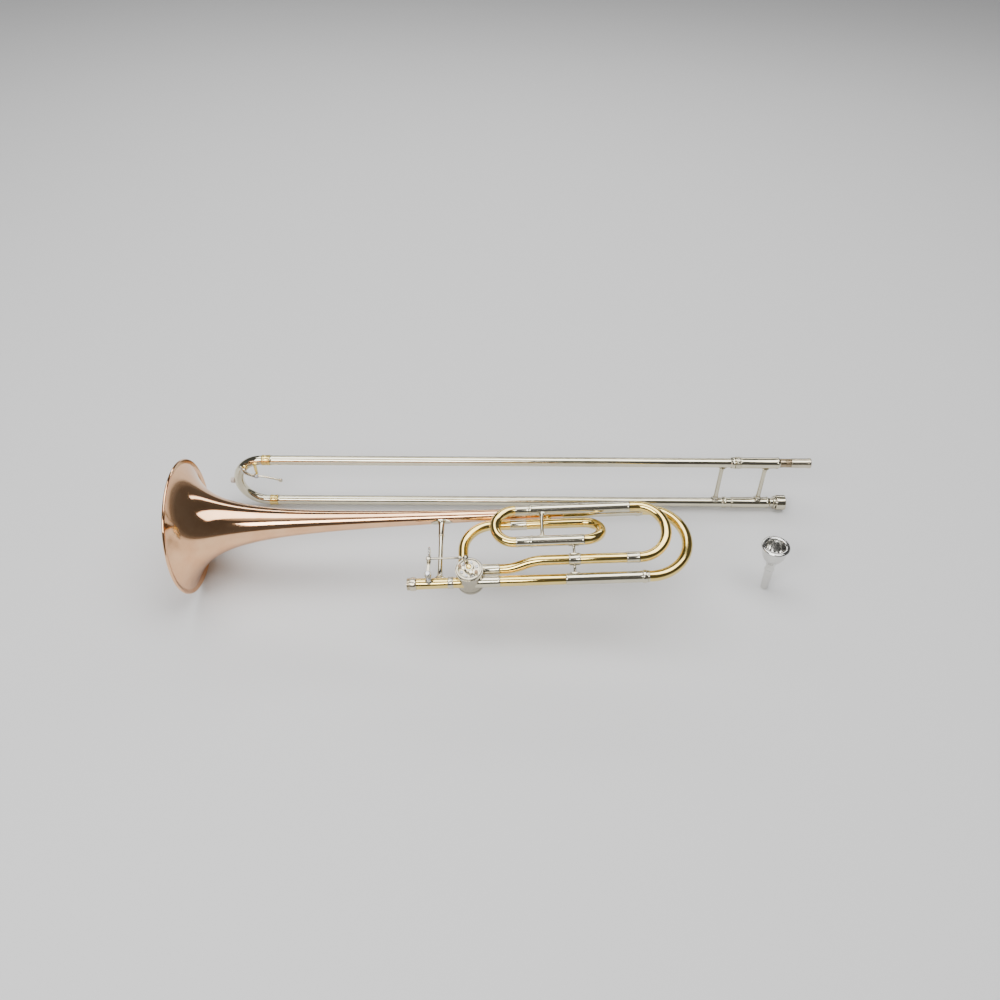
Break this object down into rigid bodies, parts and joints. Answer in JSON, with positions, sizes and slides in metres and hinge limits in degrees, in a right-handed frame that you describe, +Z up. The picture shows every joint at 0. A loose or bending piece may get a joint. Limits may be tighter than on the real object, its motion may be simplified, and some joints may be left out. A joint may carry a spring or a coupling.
{
  "type": "trombone",
  "caption": "Tenor trombone with F attachment, laid out in three pieces: bell section, hand slide and mouthpiece.",
  "frame": {"origin": "on the floor plane, under the middle of the layout", "axes": "+X from the bell's rim towards the player's end of the tubes, +Y from the bell section to the hand slide, +Z up"},
  "size_m": [0.8863, 0.2617, 0.1838],
  "materials": {
    "rose_brass": "polished and lacquered",
    "yellow_brass": "polished and lacquered",
    "nickel_silver": "polished, faintly yellow",
    "chrome_plate": "mirror",
    "silver_plate": "polished",
    "steel": "satin",
    "rubber": "matt",
    "cork": "matt"
  },
  "bodies": {
    "bell_section": {"bell": "rose_brass", "upper_tuning_sleeve": "nickel_silver", "lower_tuning_sleeve": "nickel_silver", "slide_receiver_collar": "nickel_silver", "neckpipe": "yellow_brass", "valve_casing": "nickel_silver", "valve_bottom_cap": "nickel_silver", "stop_plate": "nickel_silver", "stop_bumper_near": "rubber", "stop_bumper_far": "rubber", "lower_leg_tube": "yellow_brass", "gooseneck": "yellow_brass", "middle_run": "yellow_brass", "small_bow": "yellow_brass", "lower_f_sleeve": "nickel_silver", "upper_f_sleeve": "nickel_silver", "large_bow": "yellow_brass", "return_run": "yellow_brass", "s_bend": "yellow_brass", "valve_return_ferrule": "nickel_silver", "bell_brace": "nickel_silver", "f_brace_upper": "nickel_silver", "f_brace_middle": "nickel_silver", "f_brace_lower": "nickel_silver", "tail_knob": "nickel_silver", "tail_flange": "nickel_silver", "lever_post": "nickel_silver", "lever_hinge_screw": "steel"},
    "rotor": {"rotor": "yellow_brass", "stop_arm": "nickel_silver", "stop_arm_screw": "steel"},
    "thumb_lever": {"thumb_lever": "nickel_silver", "thumb_paddle": "silver_plate"},
    "linkage": {"linkage_rod": "nickel_silver"},
    "main_tuning_slide": {"main_tuning_slide": "yellow_brass"},
    "f_tuning_slide": {"f_tuning_slide": "yellow_brass"},
    "inner_slide": {"inner_tube_upper": "chrome_plate", "inner_tube_lower": "chrome_plate", "cork_barrel_upper": "nickel_silver", "cork_barrel_lower": "nickel_silver", "inner_brace": "nickel_silver", "mouthpiece_receiver": "nickel_silver", "tenon": "nickel_silver"},
    "slide_lock": {"slide_lock_ring": "nickel_silver"},
    "tenon_nut": {"tenon_lock_nut": "nickel_silver"},
    "outer_slide": {"outer_tube_upper": "chrome_plate", "outer_tube_lower": "chrome_plate", "crook_ferrule_upper": "yellow_brass", "crook_ferrule_lower": "yellow_brass", "crook": "nickel_silver", "outer_brace": "nickel_silver", "crook_bumper": "rubber", "water_key_nozzle": "yellow_brass", "water_key_saddle": "yellow_brass"},
    "water_key": {"water_key": "nickel_silver", "water_key_cork": "cork"},
    "mouthpiece": {"mouthpiece": "silver_plate"}
  },
  "joints": [
    {"name": "lever_press", "type": "hinge", "parent": "bell_section", "child": "thumb_lever", "pos_m": [-0.0958, -0.12424, 0.11541], "axis": [0.0584, 0.1736, -0.9831], "range_deg": [0, 45.77], "stiffness_Nm_per_rad": 0.25, "springref_deg": -8.59},
    {"name": "rotor_turn", "type": "hinge", "parent": "bell_section", "child": "rotor", "pos_m": [-0.0427, -0.11156, 0.09842], "axis": [0.0584, 0.1736, -0.9831], "range_deg": [0, 90]},
    {"name": "rod_swing", "type": "hinge", "parent": "thumb_lever", "child": "linkage", "pos_m": [-0.09563, -0.10563, 0.12501], "axis": [0.0584, 0.1736, -0.9831], "range_deg": [-45.77, 0]},
    {"name": "main_tuning_travel", "type": "slide", "parent": "bell_section", "child": "main_tuning_slide", "axis": [0.9982, 0, 0.0593], "range_m": [0, 0.06]},
    {"name": "f_tuning_travel", "type": "slide", "parent": "bell_section", "child": "f_tuning_slide", "axis": [-0.9982, 0, -0.0593], "range_m": [0, 0.045]},
    {"name": "slide_lift", "type": "slide", "parent": "bell_section", "child": "inner_slide", "axis": [0, 0, 1], "range_m": [0, 0.2]},
    {"name": "outer_slide_travel", "type": "slide", "parent": "inner_slide", "child": "outer_slide", "axis": [-1, 0, 0], "range_m": [0, 0.6]},
    {"name": "slide_lock_turn", "type": "hinge", "parent": "inner_slide", "child": "slide_lock", "pos_m": [0.344, 0.118, 0.0925], "axis": [1, 0, 0], "range_deg": [0, 35]},
    {"name": "tenon_nut_turn", "type": "hinge", "parent": "inner_slide", "child": "tenon_nut", "pos_m": [0.4225, 0.118, 0.0125], "axis": [1, 0, 0], "continuous": true},
    {"name": "water_key_press", "type": "hinge", "parent": "outer_slide", "child": "water_key", "pos_m": [-0.361, 0.104, 0.0741], "axis": [0, 0, 1], "range_deg": [0, 15], "stiffness_Nm_per_rad": 0.05, "springref_deg": -17.19},
    {"name": "mouthpiece_lift", "type": "slide", "parent": "bell_section", "child": "mouthpiece", "axis": [0, 0, 1], "range_m": [0, 0.15]}
  ],
  "couplings": [
    {"joint": "rotor_turn", "follows": "lever_press", "ratio": 1.9663},
    {"joint": "rod_swing", "follows": "lever_press", "ratio": -1}
  ]
}
